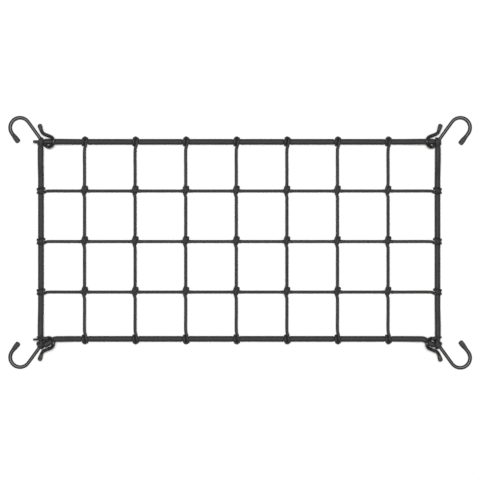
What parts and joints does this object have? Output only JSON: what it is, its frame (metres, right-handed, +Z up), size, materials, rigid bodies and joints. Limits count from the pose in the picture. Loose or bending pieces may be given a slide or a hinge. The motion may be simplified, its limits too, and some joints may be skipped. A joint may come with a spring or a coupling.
{
  "type": "elastic cargo net",
  "caption": "Flat rectangular net of knotted elastic cord, with a wire hook that swings at each corner.",
  "frame": {"origin": "middle of the outline seen from above, at the height of the surface that the net lies on", "axes": "+X along the long side, +Y along the short side towards the edge without the dipped corners, +Z up out of the net"},
  "size_m": [0.6964, 0.3808, 0.0232],
  "materials": {
    "border_sheath": "braided polyester, slight sheen",
    "mesh_sheath": "fine braided polyester, slight sheen",
    "rubber_core": "natural latex strands",
    "hook_wire": "satin black coating on steel wire",
    "dipped_tip": "matte dipped vinyl"
  },
  "bodies": {
    "net": {"border_cord_top": "border_sheath", "border_cord_bottom": "border_sheath", "border_cord_left": "border_sheath", "border_cord_right": "border_sheath", "border_core_top": "rubber_core", "border_core_bottom": "rubber_core", "border_core_left": "rubber_core", "border_core_right": "rubber_core", "mesh_cord_down_1": "mesh_sheath", "mesh_cord_down_2": "mesh_sheath", "mesh_cord_down_3": "mesh_sheath", "mesh_cord_down_4": "mesh_sheath", "mesh_cord_down_5": "mesh_sheath", "mesh_cord_down_6": "mesh_sheath", "mesh_cord_down_7": "mesh_sheath", "mesh_core_down_1": "rubber_core", "mesh_core_down_2": "rubber_core", "mesh_core_down_3": "rubber_core", "mesh_core_down_4": "rubber_core", "mesh_core_down_5": "rubber_core", "mesh_core_down_6": "rubber_core", "mesh_core_down_7": "rubber_core", "mesh_cord_across_1": "mesh_sheath", "mesh_cord_across_2": "mesh_sheath", "mesh_cord_across_3": "mesh_sheath", "mesh_core_across_1": "rubber_core", "mesh_core_across_2": "rubber_core", "mesh_core_across_3": "rubber_core", "corner_binding_left": "mesh_sheath", "corner_binding_right": "mesh_sheath"},
    "hook_top_left": {"hook_wire_top_left": "hook_wire", "hook_tip_top_left": "dipped_tip", "eye_tip_top_left": "dipped_tip"},
    "hook_top_right": {"hook_wire_top_right": "hook_wire", "hook_tip_top_right": "dipped_tip", "eye_tip_top_right": "dipped_tip"},
    "hook_bottom_left": {"hook_wire_bottom_left": "hook_wire", "hook_tip_bottom_left": "dipped_tip", "eye_tip_bottom_left": "dipped_tip"},
    "hook_bottom_right": {"hook_wire_bottom_right": "hook_wire", "hook_tip_bottom_right": "dipped_tip", "eye_tip_bottom_right": "dipped_tip"}
  },
  "joints": [
    {"name": "hook_top_left_swing", "type": "hinge", "parent": "net", "child": "hook_top_left", "pos_m": [-0.28715, 0.15165, 0.01295], "axis": [1, 0, 0], "range_deg": [-30, 130]},
    {"name": "hook_top_right_swing", "type": "hinge", "parent": "net", "child": "hook_top_right", "pos_m": [0.28715, 0.15165, 0.01295], "axis": [1, 0, 0], "range_deg": [-30, 130]},
    {"name": "hook_bottom_left_swing", "type": "hinge", "parent": "net", "child": "hook_bottom_left", "pos_m": [-0.28715, -0.15063, 0.01295], "axis": [-0.9395, -0.3426, 0], "range_deg": [-8, 80]},
    {"name": "hook_bottom_right_swing", "type": "hinge", "parent": "net", "child": "hook_bottom_right", "pos_m": [0.28715, -0.15165, 0.01295], "axis": [-0.9527, 0.3038, 0], "range_deg": [-8, 80]}
  ]
}
